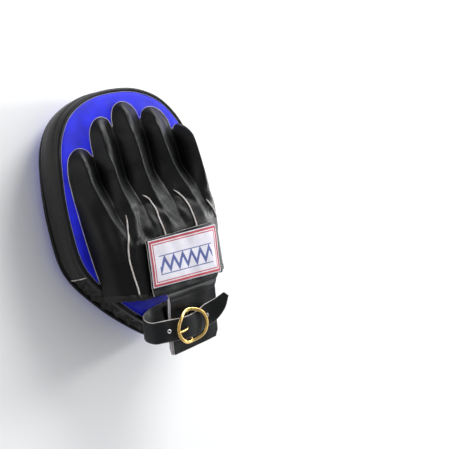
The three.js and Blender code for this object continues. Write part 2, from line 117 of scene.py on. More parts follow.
def spline(points, count, closed=False):
    """Centripetal Catmull-Rom through points, as count samples evenly spaced along its length."""
    pts = np.array(points, float)
    n = len(pts)
    dense = []
    for i in range(n if closed else n - 1):
        if closed:
            p0, p1, p2, p3 = (pts[(i + k) % n] for k in (-1, 0, 1, 2))
        else:
            p1, p2 = pts[i], pts[i + 1]
            p0 = pts[i - 1] if i > 0 else 2 * p1 - p2
            p3 = pts[i + 2] if i + 2 < n else 2 * p2 - p1
        d0, d1, d2 = (np.linalg.norm(b - a) ** 0.5 for a, b in ((p0, p1), (p1, p2), (p2, p3)))
        t1 = ((p1 - p0) / d0 - (p2 - p0) / (d0 + d1) + (p2 - p1) / d1) * d1
        t2 = ((p2 - p1) / d1 - (p3 - p1) / (d1 + d2) + (p3 - p2) / d2) * d1
        for t in np.linspace(0, 1, 40, endpoint=False):
            dense.append(
                p1 * (2 * t**3 - 3 * t**2 + 1) + t1 * (t**3 - 2 * t**2 + t)
                + p2 * (3 * t**2 - 2 * t**3) + t2 * (t**3 - t**2)
            )
    dense.append(pts[0] if closed else pts[-1])
    dense = np.array(dense)
    run = np.concatenate([[0], np.cumsum(np.linalg.norm(np.diff(dense, axis=0), axis=1))])
    where = np.linspace(0, run[-1], count, endpoint=not closed)
    return np.stack([np.interp(where, run, dense[:, k]) for k in range(dense.shape[1])], axis=1)


left_half = [(-x, y) for x, y in reversed(HALF_OUTLINE[1:-1])]
SEAM_LINE = spline(HALF_OUTLINE + left_half, 1440, closed=True)


def edge(turn, offset):
    """A point of the pad's seam line, moved out by offset.

    turn is 0 at the fingertips and goes round to 1, clockwise as seen from the hand side.
    """
    n = len(SEAM_LINE)
    at = (turn % 1) * n
    i = int(at) % n
    part = at - int(at)
    p = SEAM_LINE[i] * (1 - part) + SEAM_LINE[(i + 1) % n] * part
    d = SEAM_LINE[(i + 3) % n] - SEAM_LINE[(i - 3) % n]
    d = d / np.linalg.norm(d)
    return np.array([p[0] - d[1] * offset, p[1] + d[0] * offset])


def pucker(turn):
    """Height from -1 to 1 of the small puckers along the seam line."""
    return sin(tau * turn * PUCKERS)


def smooth(a, b, v):
    """0 where v is at a or before it, 1 at b or beyond, with a soft step between."""
    t = np.clip((v - a) / (b - a), 0, 1)
    return t * t * (3 - 2 * t)


def ripple(x, y, seed, wave):
    """A slow wandering value between about -1 and 1."""
    r = np.random.default_rng(seed)
    total = 0
    for k in range(5):
        turn = r.uniform(0, tau)
        phase = r.uniform(0, tau)
        rate = tau / (wave * r.uniform(0.6, 1.6))
        total = total + np.sin(rate * (x * cos(turn) + y * sin(turn)) + phase)
    return total / 2.6


# ---------- mesh helpers ----------


def piece(name, verts, faces, materials, body="pad", slot=None, replaces=(), face_slots=None):
    """A named mesh from millimetre points that rides on a body.

    Its slot argument is not used.
    """
    materials = materials if isinstance(materials, list) else [materials]
    mesh = bpy.data.meshes.new(name)
    mesh.from_pydata([tuple(c * MM for c in v) for v in verts], [], faces)
    for material in materials:
        mesh.materials.append(material)
    if face_slots is not None:
        mesh.polygons.foreach_set("material_index", face_slots)
    bm = bmesh.new()
    bm.from_mesh(mesh)
    bmesh.ops.recalc_face_normals(bm, faces=bm.faces)
    bm.to_mesh(mesh)
    bm.free()
    mesh.polygons.foreach_set("use_smooth", [True] * len(mesh.polygons))
    obj = bpy.data.objects.new(name, mesh)
    bpy.context.scene.collection.objects.link(obj)
    if body:
        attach(obj, body)
    if replaces:
        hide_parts(*replaces)
    return obj


def grid_faces(rows, columns, wrap_rows=False, wrap_columns=False):
    """Quads over a rows by columns grid of points stored row by row."""
    faces = []
    for i in range(rows if wrap_rows else rows - 1):
        for j in range(columns if wrap_columns else columns - 1):
            a, b = i * columns + j, i * columns + (j + 1) % columns
            k = ((i + 1) % rows) * columns
            faces.append((a, b, k + (j + 1) % columns, k + j))
    return faces


def lofted(name, rings, materials, closed=False, face_slots=None, **options):
    """A tube skinned over a list of rings of points, with capped ends unless it closes on itself."""
    rows, columns = len(rings), len(rings[0])
    verts = [p for ring in rings for p in ring]
    faces = grid_faces(rows, columns, wrap_rows=closed, wrap_columns=True)
    if not closed:
        faces.append(tuple(range(columns)))
        faces.append(tuple((rows - 1) * columns + k for k in range(columns)))
        if face_slots is not None:
            face_slots = list(face_slots) + [face_slots[0], face_slots[0]]
    return piece(name, verts, faces, materials, face_slots=face_slots, **options)


def circle(count):
    """Angles evenly spaced round a full turn."""
    return np.linspace(0, tau, count, endpoint=False)


def directions(path, closed=False):
    """Unit vectors along a path at each of its points."""
    d = np.roll(path, -1, axis=0) - np.roll(path, 1, axis=0)
    if not closed:
        d[0], d[-1] = path[1] - path[0], path[-1] - path[-2]
    return d / np.linalg.norm(d, axis=1, keepdims=True)


def cord(name, path, radius, material, sides=12, closed=False, **options):
    """A round cord along a path. radius is one number or one for each point."""
    path = np.array(path, float)
    along = directions(path, closed)
    radii = np.broadcast_to(radius, len(path))
    up = np.array([0, 0, 1.0]) if abs(along[0][2]) < 0.9 else np.array([1.0, 0, 0])
    rings = []
    for p, t, r in zip(path, along, radii):
        side = np.cross(t, up)
        side /= np.linalg.norm(side)
        up = np.cross(side, t)
        rings.append([p + r * (side * cos(a) + up * sin(a)) for a in circle(sides)])
    return lofted(name, rings, material, closed=closed, **options)


def ribbon(name, path, sides, widths, thick, materials, bow=0.25, **options):
    """A flat leather strip with rounded edges. Its two long edges take the second material."""
    along = directions(np.array(path, float))
    section = []
    for u in (-1, -0.97, -0.86, -0.4, 0, 0.4, 0.86, 0.97, 1):
        section.append((u, 0.5 if abs(u) < 0.9 else 0.3 if abs(u) < 1 else 0.08))
    loop = section + [(u, -v) for u, v in reversed(section)]
    rings = []
    for p, t, s, w in zip(path, along, sides, widths):
        out = np.cross(t, s)
        out /= np.linalg.norm(out)
        s = np.cross(out, t)
        rings.append([p + s * (u * w / 2) + out * (v * thick + bow * (1 - u * u)) for u, v in loop])
    out_at_rim = [abs(u) > 0.96 for u, _ in loop]
    is_edge = [int(a and b) for a, b in zip(out_at_rim, out_at_rim[1:] + out_at_rim[:1])]
    return lofted(name, rings, materials, face_slots=is_edge * (len(rings) - 1), **options)


def stitches(name, points, normals, material, pitch=4.2, length=2.9, radius=0.32, **options):
    """A row of thread stitches along a line that lies on a surface."""
    points = np.array(points, float)
    normals = np.array(normals, float)
    run = np.concatenate([[0], np.cumsum(np.linalg.norm(np.diff(points, axis=0), axis=1))])
    verts, faces = [], []
    for start in np.arange(pitch, run[-1] - pitch, pitch):
        spots = [start + length * k for k in (0, 0.2, 0.5, 0.8, 1)]
        mid = [np.array([np.interp(s, run, points[:, k]) for k in range(3)]) for s in spots]
        out = np.array([np.interp(start, run, normals[:, k]) for k in range(3)])
        side = np.cross(mid[-1] - mid[0], out)
        side /= np.linalg.norm(side)
        first = len(verts)
        for m, lift, r in zip(mid, (-0.25, 0.12, 0.22, 0.12, -0.25), (0.6, 1, 1, 1, 0.6)):
            for a in circle(6):
                verts.append(m + out * lift + radius * r * (side * cos(a) + out * sin(a)))
        for f in grid_faces(5, 6, wrap_columns=True):
            faces.append(tuple(first + k for k in f))
    return piece(name, verts, faces, material, **options)


def thicken(sheet, thickness, offset=-1):
    """Gives a sheet its leather thickness, below it unless offset is 1, and subdivides it."""
    solid = sheet.modifiers.new("thickness", "SOLIDIFY")
    solid.thickness = thickness * MM
    solid.offset = offset
    finer = sheet.modifiers.new("smooth", "SUBSURF")
    finer.levels = 1
    finer.render_levels = 1
    return sheet


# ---------- materials ----------


class Nodes:
    """Short names for building a node material."""

    def __init__(self, name):
        self.material = bpy.data.materials.new(name)
        self.material.use_nodes = True
        self.tree = self.material.node_tree
        self.shader = self.tree.nodes["Principled BSDF"]

    def add(self, kind, **settings):
        node = self.tree.nodes.new(kind)
        for key, value in settings.items():
            if key in node.bl_rna.properties:
                setattr(node, key, value)
            else:
                node.inputs[key.replace("_", " ")].default_value = value
        return node

    def link(self, a, b):
        self.tree.links.new(a, b)

    def coords(self):
        return self.add("ShaderNodeTexCoord").outputs["Object"]

    def noise(self, vector, scale, detail=4, roughness=0.55):
        node = self.add("ShaderNodeTexNoise", Scale=scale, Detail=detail, Roughness=roughness)
        self.link(vector, node.inputs["Vector"])
        return node.outputs["Fac"]

    def ramp(self, value, *stops):
        """A colour for each value, from stops of a position and a colour."""
        node = self.add("ShaderNodeValToRGB")
        elements = node.color_ramp.elements
        while len(elements) < len(stops):
            elements.new(0.5)
        for element, (at, color) in zip(elements, stops):
            element.position = at
            element.color = (*color, 1)
        self.link(value, node.inputs["Fac"])
        return node.outputs["Color"]

    def between(self, value, start, stop):
        """Black at start and below, white at stop and above."""
        return self.ramp(value, (start, (0, 0, 0)), (stop, (1, 1, 1)))

    def spread(self, value, lo, hi):
        """A value from 0 to 1 stretched to run from lo to hi."""
        node = self.add("ShaderNodeMapRange")
        node.inputs["To Min"].default_value = lo
        node.inputs["To Max"].default_value = hi
        self.link(value, node.inputs["Value"])
        return node.outputs["Result"]

    def math(self, operation, a, b):
        node = self.add("ShaderNodeMath", operation=operation)
        for socket, value in zip(node.inputs, (a, b)):
            if isinstance(value, (int, float)):
                socket.default_value = value
            else:
                self.link(value, socket)
        return node.outputs["Value"]

    def mixed(self, factor, a, b):
        """Colour a where factor is 0 and colour b where it is 1."""
        node = self.add("ShaderNodeMix", data_type="RGBA")
        for socket, value in zip((node.inputs[0], node.inputs[6], node.inputs[7]), (factor, a, b)):
            if isinstance(value, (int, float, tuple)):
                socket.default_value = (*value, 1) if isinstance(value, tuple) else value
            else:
                self.link(value, socket)
        return node.outputs[2]

    def bump(self, height, distance, strength=1.0, under=None):
        node = self.add("ShaderNodeBump", Strength=strength, Distance=distance * MM)
        self.link(height, node.inputs["Height"])
        if under is not None:
            self.link(under, node.inputs["Normal"])
        return node.outputs["Normal"]

    def set(self, **values):
        for key, value in values.items():
            socket = self.shader.inputs[key.replace("_", " ")]
            if isinstance(value, bpy.types.NodeSocket):
                self.link(value, socket)
            else:
                socket.default_value = value
        return self.material


def leather(name, deep, light, grain, depth, rough, specular=0.4):
    """Pebbled leather: grain cells with creases between them, and worn, glossier high spots.

    Its colour wanders slowly from deep to light, and the creases between the cells are painted darker as
    shade. grain is the number of cells in a metre.
    """
    n = Nodes(name)
    at = n.coords()
    cells = n.add("ShaderNodeTexVoronoi", feature="DISTANCE_TO_EDGE", Scale=grain)
    warp = n.add("ShaderNodeTexNoise", Scale=grain * 0.6, Detail=2.0)
    n.link(at, warp.inputs["Vector"])
    push = n.add("ShaderNodeVectorMath", operation="MULTIPLY_ADD")
    n.link(warp.outputs["Color"], push.inputs[0])
    push.inputs[1].default_value = (0.7 / grain,) * 3
    n.link(at, push.inputs[2])
    n.link(push.outputs["Vector"], cells.inputs["Vector"])
    stops = (0.0, (0, 0, 0)), (0.16, (0.8, 0.8, 0.8)), (0.5, (1, 1, 1))
    crease = n.ramp(cells.outputs["Distance"], *stops)
    slow = n.noise(at, 45, detail=5)
    fine = n.noise(at, grain * 2.2, detail=3)
    base = n.mixed(n.between(slow, 0.3, 0.72), deep, light)
    # Painted shade: the creases between the grain cells are darkened.
    color = n.mixed(n.spread(crease, 0.28, 0.0), base, tuple(c * 0.35 for c in deep))
    wear = n.math("ADD", n.spread(slow, rough - 0.06, rough + 0.09), n.spread(crease, 0.12, 0.0))
    folds = n.bump(n.noise(at, 90, detail=3), 0.5, 0.35)
    pores = n.bump(fine, depth * 0.35, 0.5, under=folds)
    normal = n.bump(crease, depth, 0.75, under=pores)
    return n.set(Base_Color=color, Roughness=wear, Normal=normal, Specular_IOR_Level=specular)


def raw_edge(name, pale, dirt):
    """Cut leather or felt: fibrous and dull, with dirty patches."""
    n = Nodes(name)
    at = n.coords()
    fibre = n.noise(at, 1400, detail=4, roughness=0.7)
    patch = n.noise(at, 120, detail=3)
    color = n.mixed(n.between(patch, 0.4, 0.75), pale, dirt)
    rough = n.spread(fibre, 0.75, 0.95)
    return n.set(Base_Color=color, Roughness=rough, Normal=n.bump(fibre, 0.25, 0.6))


def thread(name, color):
    """Sewing thread, with painted shade: darker bands between its twisted strands."""
    n = Nodes(name)
    at = n.coords()
    twist = n.add("ShaderNodeTexWave", Scale=900, Distortion=1.5)
    n.link(at, twist.inputs["Vector"])
    # Painted shade between the twisted strands.
    shade = n.mixed(n.spread(twist.outputs["Fac"], 0.0, 0.35), color, tuple(c * 0.4 for c in color))
    return n.set(Base_Color=shade, Roughness=0.65, Normal=n.bump(twist.outputs["Fac"], 0.1, 0.5))


def metal(name, color, dull, rough):
    """Polished plated metal with fine scratches and tarnish."""
    n = Nodes(name)
    at = n.coords()
    patch = n.noise(at, 260, detail=5)
    scratch = n.noise(at, 2600, detail=2)
    shade = n.mixed(n.between(patch, 0.45, 0.75), color, dull)
    wear = n.spread(patch, rough - 0.06, rough + 0.14)
    return n.set(Base_Color=shade, Metallic=1.0, Roughness=wear, Normal=n.bump(scratch, 0.03, 0.4))


def foam_material(name):
    """Dark closed-cell foam, with painted shade: each cell darker at its hollow middle."""
    n = Nodes(name)
    cells = n.add("ShaderNodeTexVoronoi", Scale=1300)
    n.link(n.coords(), cells.inputs["Vector"])
    # Painted shade: darker in the middle of each cell, where its hollow is.
    shade = n.mixed(cells.outputs["Distance"], (0.03, 0.03, 0.032), (0.08, 0.08, 0.085))
    return n.set(Base_Color=shade, Roughness=0.95, Normal=n.bump(cells.outputs["Distance"], 0.4, 0.5))


BLUE = leather(
    "blue_pebbled_leather", (0.006, 0.008, 0.52), (0.013, 0.018, 0.92),
    grain=700, depth=0.16, rough=0.40, specular=0.25,
)
BLACK = leather(
    "black_soft_leather", (0.0014, 0.0014, 0.0016), (0.0045, 0.0045, 0.005),
    grain=1500, depth=0.06, rough=0.26, specular=0.22,
)
WALL = leather(
    "black_wall_leather", (0.004, 0.0036, 0.0028), (0.012, 0.011, 0.008),
    grain=1200, depth=0.09, rough=0.36, specular=0.3,
)
STRAP_LEATHER = leather(
    "black_strap_leather", (0.003, 0.0033, 0.0038), (0.008, 0.009, 0.010),
    grain=1300, depth=0.06, rough=0.38, specular=0.3,
)
WHITE = leather(
    "white_leather", (0.80, 0.80, 0.79), (0.90, 0.90, 0.89),
    grain=800, depth=0.1, rough=0.45,
)
RED = leather(
    "red_print", (0.50, 0.01, 0.012), (0.62, 0.02, 0.02),
    grain=900, depth=0.05, rough=0.4,
)
RAW = raw_edge("raw_leather_edge", (0.62, 0.58, 0.55), (0.34, 0.29, 0.26))
FELT = raw_edge("pale_felt", (0.70, 0.66, 0.72), (0.45, 0.40, 0.42))
PALE_THREAD = thread("pale_thread", (0.42, 0.42, 0.50))
DARK_THREAD = thread("dark_thread", (0.03, 0.03, 0.035))
BRASS = metal("brass", (0.78, 0.52, 0.17), (0.45, 0.29, 0.10), 0.22)
NICKEL = metal("nickel", (0.72, 0.72, 0.74), (0.42, 0.41, 0.40), 0.25)
FOAM = foam_material("closed_cell_foam")


# ---------- pad: strike side ----------


def face_height(share):
    """Height of the strike face at a share of the way out from its centre to its rim."""
    rise = np.maximum(0, (share - FACE_FLAT) / (1 - FACE_FLAT)) ** 2.3
    return FACE_Z + (FRONT_SEAM - FACE_Z - PIPING + 0.2) * rise


def share_out(x, y):
    """How far out towards the rim a point of the strike face lies, from 0 to 1."""
    rim = np.array([edge(t, -2.6) for t in np.linspace(0, 1, 720, endpoint=False)])
    angles = np.arctan2(rim[:, 0], rim[:, 1])
    order = np.argsort(angles)
    reach = np.interp(np.arctan2(x, y), angles[order], np.hypot(*rim[order].T), period=tau)
    return np.hypot(x, y) / reach


def strike_cover():
    """The crowned blue cover of the strike side."""
    turns = np.linspace(0, 1, 360, endpoint=False)
    towards_rim = 1 - 0.1 * (1 - np.linspace(0, 1, 16)[1:]) ** 1.5
    rings = []
    for s in np.concatenate([np.linspace(0.02, 0.9, 56), towards_rim]):
        ring = []
        for t in turns:
            p = edge(t, -1.3) * s
            z = face_height(s)
            z += 0.22 * ripple(p[0], p[1], 3, 42) * smooth(0.35, 0.6, s) * smooth(1, 0.9, s)
            z += 0.16 * pucker(t) * smooth(0.93, 0.99, s)
            ring.append((p[0], p[1], z))
        rings.append(ring)
    under = [[(x * 0.975, y * 0.975, z + LEATHER) for x, y, z in rings[-1]]]
    cover = lofted("strike_cover", rings + under, BLUE, replaces=["strike_face"])


def oval_ring(x, y, half_width, half_height, share, depth, count=96):
    """A share of an oval, drawn on the strike face and moved out of it by depth."""
    a = circle(count)
    px = x + half_width * share * np.sin(a)
    py = y + half_height * share * np.cos(a)
    pz = face_height(share_out(px, py)) - depth
    return list(zip(px, py, pz))


def oval_patch(name, oval, depth, thick, material, node):
    profile = [(share, depth) for share in (0.02, 0.3, 0.6, 0.85, 0.96)]
    profile += [(0.985, depth - 0.08), (0.998, depth - thick * 0.5)]
    profile += [(1, depth - thick), (0.9, depth - thick)]
    rings = [oval_ring(*oval, s, d) for s, d in profile]
    lofted(name, rings, material, replaces=[node])


def lozenge(name, x, y, half_width, half_height, material):
    """A flat lozenge printed on the badge."""
    corners = [(-1, 0), (-0.5, 0.5), (0, 1), (0.5, 0.5), (1, 0), (0.5, -0.5), (0, -1), (-0.5, -0.5)]
    rings = []
    for share, depth in ((0.05, 1.95), (0.5, 1.95), (0.97, 1.95), (1.0, 1.7)):
        ring = []
        for u, v in corners:
            px, py = x + u * half_width * share, y + v * half_height * share
            ring.append((px, py, float(face_height(share_out(px, py))) - depth))
        rings.append(ring)
    lofted(name, rings, material, slot="white_leather")


def badge():
    """A white oval on a black oval, with a plain generic mark: a red lozenge between two black ones."""
    black_oval = (-1.5, 89, 50, 33.5)
    white_oval = (0, 87.5, 45.5, 30)
    oval_patch("badge_black_oval", black_oval, 0.75, 1.3, BLACK, "badge_backing")
    oval_patch("badge_white_oval", white_oval, 1.7, 1.3, WHITE, "badge_disc")
    for name, oval, depth, material in (
        ("badge_stitching", (0, 87.5, 43.6, 28.1), 1.75, PALE_THREAD),
        ("badge_outer_stitching", (-1.5, 89, 48.4, 31.9), 0.8, DARK_THREAD),
    ):
        ring = oval_ring(*oval, 1, depth, count=200)
        stitches(
            name, ring + ring[:1], [(0, 0, -1)] * 201, material,
            pitch=2.8, length=2.0, radius=0.2, slot="white_leather",
        )
    lozenge("badge_mark_1", 0, 87.5, 15, 9, RED)
    lozenge("badge_mark_2", -24, 87.5, 7, 4.5, BLACK)
    lozenge("badge_mark_3", 24, 87.5, 7, 4.5, BLACK)


def target():
    """The round white leather target in the middle of the strike face."""
    profile = [(0.02, 0), (0.5, 0), (0.93, 0), (0.965, 0.12), (0.985, 0.45), (0.992, 1.0), (0.985, 1.9)]
    rings = []
    for share, z in profile:
        r = TARGET_RADIUS * share
        rings.append([(r * sin(a), r * cos(a), z) for a in circle(144)])
    lofted("target_disc", rings, WHITE, replaces=["target_patch"])
    a = np.linspace(0, tau, 241)
    r = TARGET_RADIUS - 2.5
    line = np.stack([r * np.sin(a), r * np.cos(a), np.full(241, 0.14)], axis=1)
    stitches(
        "target_stitching", line, [(0, 0, -1)] * 241, PALE_THREAD,
        pitch=3.0, length=2.1, radius=0.2, slot="white_leather",
    )


# ---------- pad: walls, piping and back panel ----------


def wall_rings(start, stop, count, rise_steps, offset_at):
    """Sections of a wall between two turns: up its outer side and down its inner side."""
    rings = []
    for t in np.linspace(start, stop, count):
        outer, inner = [], []
        for u in np.linspace(0, 1, rise_steps):
            z = FRONT_SEAM + 1.0 + (REAR_SEAM - FRONT_SEAM - 2.0) * u
            out = offset_at(t, u)
            outer.append((*edge(t, out), z))
            inner.append((*edge(t, out - LEATHER), z))
        rings.append(outer + inner[::-1])
    return rings


def side_offset(t, u):
    """Outward bulge of the side wall, fuller at the fingertips, with two long soft creases."""
    s = t * ROUND
    at_tips = smooth(0.26, 0.1, abs((t + 0.5) % 1 - 0.5))
    at_thumb_tip = smooth(0.1, 0.02, abs(t + 0.13))
    bulge = (1.8 + 3.0 * at_tips + 2.0 * at_thumb_tip) * sin(pi * u) ** 0.5
    wander = 0.03 * ripple(s, 0, 11, 190)
    wide = exp(-(((u - 0.42 - wander) / 0.11) ** 2)) * (0.6 + 0.4 * ripple(s, 3, 12, 160))
    sharp = exp(-(((u - 0.82 + wander) / 0.05) ** 2)) * (0.75 + 0.25 * ripple(s, 9, 13, 130))
    ends = smooth(0.0, 0.1, u) * smooth(1.0, 0.93, u)
    return bulge - (0.9 * wide + 1.5 * sharp) * ends + 0.25 * ripple(s, 5, 14, 70) * ends


def heel_offset(t, u):
    """Gathered leather round the wrist end: uneven pleats below a smooth band."""
    s = t * ROUND
    fade = sin(pi * min(u / 0.8, 1)) ** 0.6
    phase = s / 15 + 0.55 * ripple(s, 0, 21, 60) + 0.8 * u
    pleat = 1 - 2 * abs(sin(pi * phase)) ** 0.5
    cross = ripple(s * 1.2, u * 55, 22, 22)
    band = smooth(0.78, 0.84, u)
    return (0.8 + 2.4 * pleat + 1.4 * cross) * fade + 2.0 * band * (1 - 0.6 * smooth(0.92, 1, u))


def walls():
    """The side wall, the gathered heel wall, and the pale seams where they meet."""
    seam = GUSSET_SEAM
    gap = 0.0004
    rings = wall_rings(gap - seam, seam - gap, 420, 34, side_offset)
    wall = lofted("side_wall", rings, WALL, replaces=["side_gusset"])
    rings = wall_rings(seam + gap, 1 - seam - gap, 400, 34, heel_offset)
    heel = lofted("heel_wall", rings, WALL, replaces=["heel_gusset"])
    for name, turn in (("wall_seam_edge_right", seam), ("wall_seam_edge_left", 1 - seam)):
        path = []
        for u in np.linspace(0, 1, 16):
            z = FRONT_SEAM + 2 + (REAR_SEAM - FRONT_SEAM - 4) * u
            path.append((*edge(turn, side_offset(seam, u) + 0.7), z))
        cord(name, path, 0.5, RAW)


def piping(name, z, node):
    turns = np.linspace(0, 1, 360, endpoint=False)
    path = [(*edge(t, 0.5 + 0.12 * pucker(t)), z) for t in turns]
    cord(name, path, PIPING, BLACK, closed=True, replaces=[node])


def seam_details(name, z, outward):
    """A pale hairline where the blue leather meets the piping, and the seam's stitches."""
    turns = np.linspace(0, 1, 720, endpoint=False)
    hairline = [(*edge(t, -2.0), z + outward * 1.3) for t in turns]
    cord(f"{name}_hairline", hairline, 0.3, PALE_THREAD, sides=6, closed=True, slot="blue_leather")
    turns = np.linspace(0, 1, 721)
    line = [(*edge(t, -0.5), z + outward * 2.0) for t in turns]
    stitches(
        f"{name}_stitching", line, [(0, 0, outward)] * 721, DARK_THREAD,
        pitch=4.1, length=2.9, radius=0.26, slot="black_leather",
    )


def back_z(x, y, inside):
    """Height of the blue back panel. inside is the distance in from its rim."""
    roll = 1.3 * (1 - np.clip(inside / 5, 0, 1)) ** 2
    return BACK_Z - roll + 0.35 * ripple(x, y, 31, 38) * smooth(2, 10, inside)


def back_panel():
    """The blue panel that the hand lies on."""
    turns = np.linspace(0, 1, 360, endpoint=False)
    insets = np.concatenate([np.linspace(0, 8, 12), np.linspace(10, 88, 36)])
    reach = 94.0
    rings = [[(*edge(t, -1.2), REAR_SEAM - 0.3) for t in turns]]
    for inset in insets:
        share = 1 - inset / reach
        ring = []
        for t in turns:
            x, y = edge(t, -1.2) * share
            rim_pucker = 0.1 * pucker(t) * (inset < 3)
            ring.append((x, y, float(back_z(x, y, inset)) + rim_pucker))
        rings.append(ring)
    panel = lofted("back_cover", rings[::-1], BLUE, replaces=["back_panel"])


# ---------- glove ----------

# Where the glove is sewn to the back panel, from the thumb side of its mouth over the fingertips.
GLOVE_OUTLINE = [
    (-78, -84), (-82, -50), (-84.5, 0), (-84.8, 40), (-83, 62), (-76.5, 78), (-64, 85), (-53, 81.5),
    (-47, 73), (-45.8, 86), (-42.5, 101), (-34, 111.5), (-24, 114.5), (-15.5, 110.5), (-12, 101),
    (-9.5, 113), (-3, 123.5), (8, 127.5), (18, 124), (25, 115), (28, 105),
    (32, 112), (41, 116), (51, 115), (60, 108), (65.5, 98), (68.5, 86),
    (75, 90), (83, 88.5), (90, 80), (93.5, 62), (95, 20), (94, -22), (88, -52), (79, -84),
]
# The five stalls, thumb first. Each has the x of the gutters on its two sides, at the base and at the tip,
# the points of its crest, the crest's height, and how its far flank falls: straight at 1, fuller below 1.
STALLS = [
    ((-84.7, -84.7), (-47, -47), [(-66, 86), (-70, 66), (-69, 44), (-61, 5), (-52, -28)], 20, 1.05),
    ((-47, -46.5), (-15, -12), [(-32, 115), (-36, 95), (-37, 73), (-36, 29), (-33, -6), (-36, -20)],
     21, 1.1),
    ((-15, -12), (26, 28.5), [(3, 128), (0, 105), (1, 85), (1, 59), (2, 21), (5, -4)], 22, 1.1),
    ((26, 28.5), (67, 67), [(42, 116), (38, 95), (39, 72), (44, 38), (51, 5), (54, -18)], 21, 1.1),
    ((67, 67), (95, 95), [(79, 90), (77, 71), (77.5, 37), (79, 0)], 30, 0.4),
]
# Raw leather edges of the seams on the hand.
SEAM_EDGES = {
    "thumb_seam_edge": [
        (-42, 2), (-43, -5), (-47, -16), (-53, -27), (-57, -43), (-57, -61), (-56, -77), (-56, -84),
    ],
    "index_seam_edge": [(-11, 19), (-6, 12), (-4, 1), (-5.5, -12), (-6, -31)],
    "middle_seam_edge": [(31, 16), (37, 7), (39.5, -5), (39, -18), (38, -32)],
    "ring_seam_edge": [(69, -4), (72.5, -15), (77, -27)],
}
GLOVE_NODES = [
    "thumb_stall", "index_stall", "middle_stall", "ring_stall", "little_stall", "thenar_panel",
    "hand_back_panel",
]


def distance_to(x, y, line):
    """Distance from each point to a polyline, and how far along it the nearest point is (0 to 1)."""
    line = np.array(line, float)
    best = np.full(np.shape(x), 1e9)
    along = np.zeros(np.shape(x))
    for k, (a, b) in enumerate(zip(line[:-1], line[1:])):
        d = b - a
        t = np.clip(((x - a[0]) * d[0] + (y - a[1]) * d[1]) / (d @ d), 0, 1)
        r = np.hypot(x - a[0] - t * d[0], y - a[1] - t * d[1])
        along = np.where(r < best, (k + t) / (len(line) - 1), along)
        best = np.minimum(best, r)
    return best, along


def inside_outline(x, y, polygon):
    """1 inside the polygon and -1 outside."""
    inside = np.zeros(np.shape(x), bool)
    for (x0, y0), (x1, y1) in zip(polygon, np.roll(polygon, -1, axis=0)):
        crosses = (y0 > y) != (y1 > y)
        with np.errstate(divide="ignore", invalid="ignore"):
            at = (x1 - x0) * (y - y0) / (y1 - y0) + x0
        inside ^= crosses & (x < at)
    return np.where(inside, 1.0, -1.0)


def cover_height(x, y):
    """Height of the smooth arch over the back of the hand, above the back panel."""
    down = (KNUCKLE_Y - y) / (KNUCKLE_Y - MOUTH_TOP_Y)
    left = -83.5 + 4 * down
    right = 92 - 13.5 * down
    across = np.clip((2 * x - left - right) / (right - left), -1, 1)
    rise = 28 + 8 * np.sin(pi / 2 * np.clip(down * 2.2, 0, 1)) - 1.5 * down
    little_side = 4.5 * smooth(0.1, 0.75, across)
    shoulder = 3 * smooth(0.45, 0.8, across) * smooth(-32, -14, y)
    return 0.3 + (rise + little_side + shoulder) * (1 - np.abs(across) ** 2.78) ** 0.36


def mouth_y(x):
    """Where the glove's leather ends at the wrist and its hem begins."""
    s = np.clip((x + 0.5) / 80, -1, 1)
    bare = smooth(-32, -48, x) + smooth(48, 62, x)
    arch = (MOUTH_TOP_Y - MOUTH_FOOT_Y) * np.cos(s * pi / 2) ** 0.9
    return MOUTH_FOOT_Y + arch - 1.5 - 2.0 * bare


GLOVE_LINE = spline(GLOVE_OUTLINE, 700)
GLOVE_SMOOTHING = 2

# Folds of the soft leather: a line on the hand, the height of its crest or trough, and its half width.
FOLDS = [
    ([(-77, 20), (-75, -20), (-70, -70)], 2.0, 6),
    ([(-61, 0), (-63, -40), (-61, -84)], 3.0, 5),
    ([(-68, 20), (-70, -20), (-66, -60)], -2.5, 4),
    ([(-50, 12), (-44, -6), (-46, -30)], -3.0, 4),
    ([(-36, -14), (-42, -24), (-46, -40)], 3.4, 3.5),
    ([(-25, 2), (-30, -18), (-27, -34)], -7.0, 6),
    ([(-16, -20), (-30, -30), (-44, -30)], -4.5, 4),
    ([(-24, 20), (-16, 0), (-12, -16)], 2.5, 4),
    ([(5, -2), (6, -14), (14, -26)], 2.2, 5),
    ([(-8, 14), (4, -2), (22, -16)], -2.6, 4),
    ([(14, 22), (24, 0), (34, -18)], 2.0, 4),
    ([(33, 14), (44, 2), (58, -8)], -1.8, 4),
    ([(30, -8), (24, -20), (28, -30)], -2.4, 5),
    ([(60, 10), (64, -10), (62, -28)], -2.2, 4),
    ([(70, 10), (80, -6), (86, -20)], 1.6, 4),
]


def stalls_at(x, y):
    """The stalls as skewed tents, steep on the thumb side of each crest and gentle on the other.

    Gives the crest's height of the stall that each point lies on, and the point's share of it.
    """
    rises = np.zeros(np.shape(x))
    shares = np.zeros(np.shape(x))
    for (left0, left1), (right0, right1), crest, rise, fall in STALLS:
        share = np.clip(y / 100, 0, 1)
        left = left0 + (left1 - left0) * share
        right = right0 + (right1 - right0) * share
        line = np.array(crest[::-1], float)
        top = np.interp(y, line[:, 1], line[:, 0])
        rising = np.clip((x - left) / (top - left), 0, 1) ** 0.7
        falling = np.clip((right - x) / (right - top), 0, 1) ** fall
        here = (x >= left) & (x < right)
        rises = np.where(here, rise, rises)
        shares = np.where(here, np.minimum(rising, falling), shares)
    return rises, shares


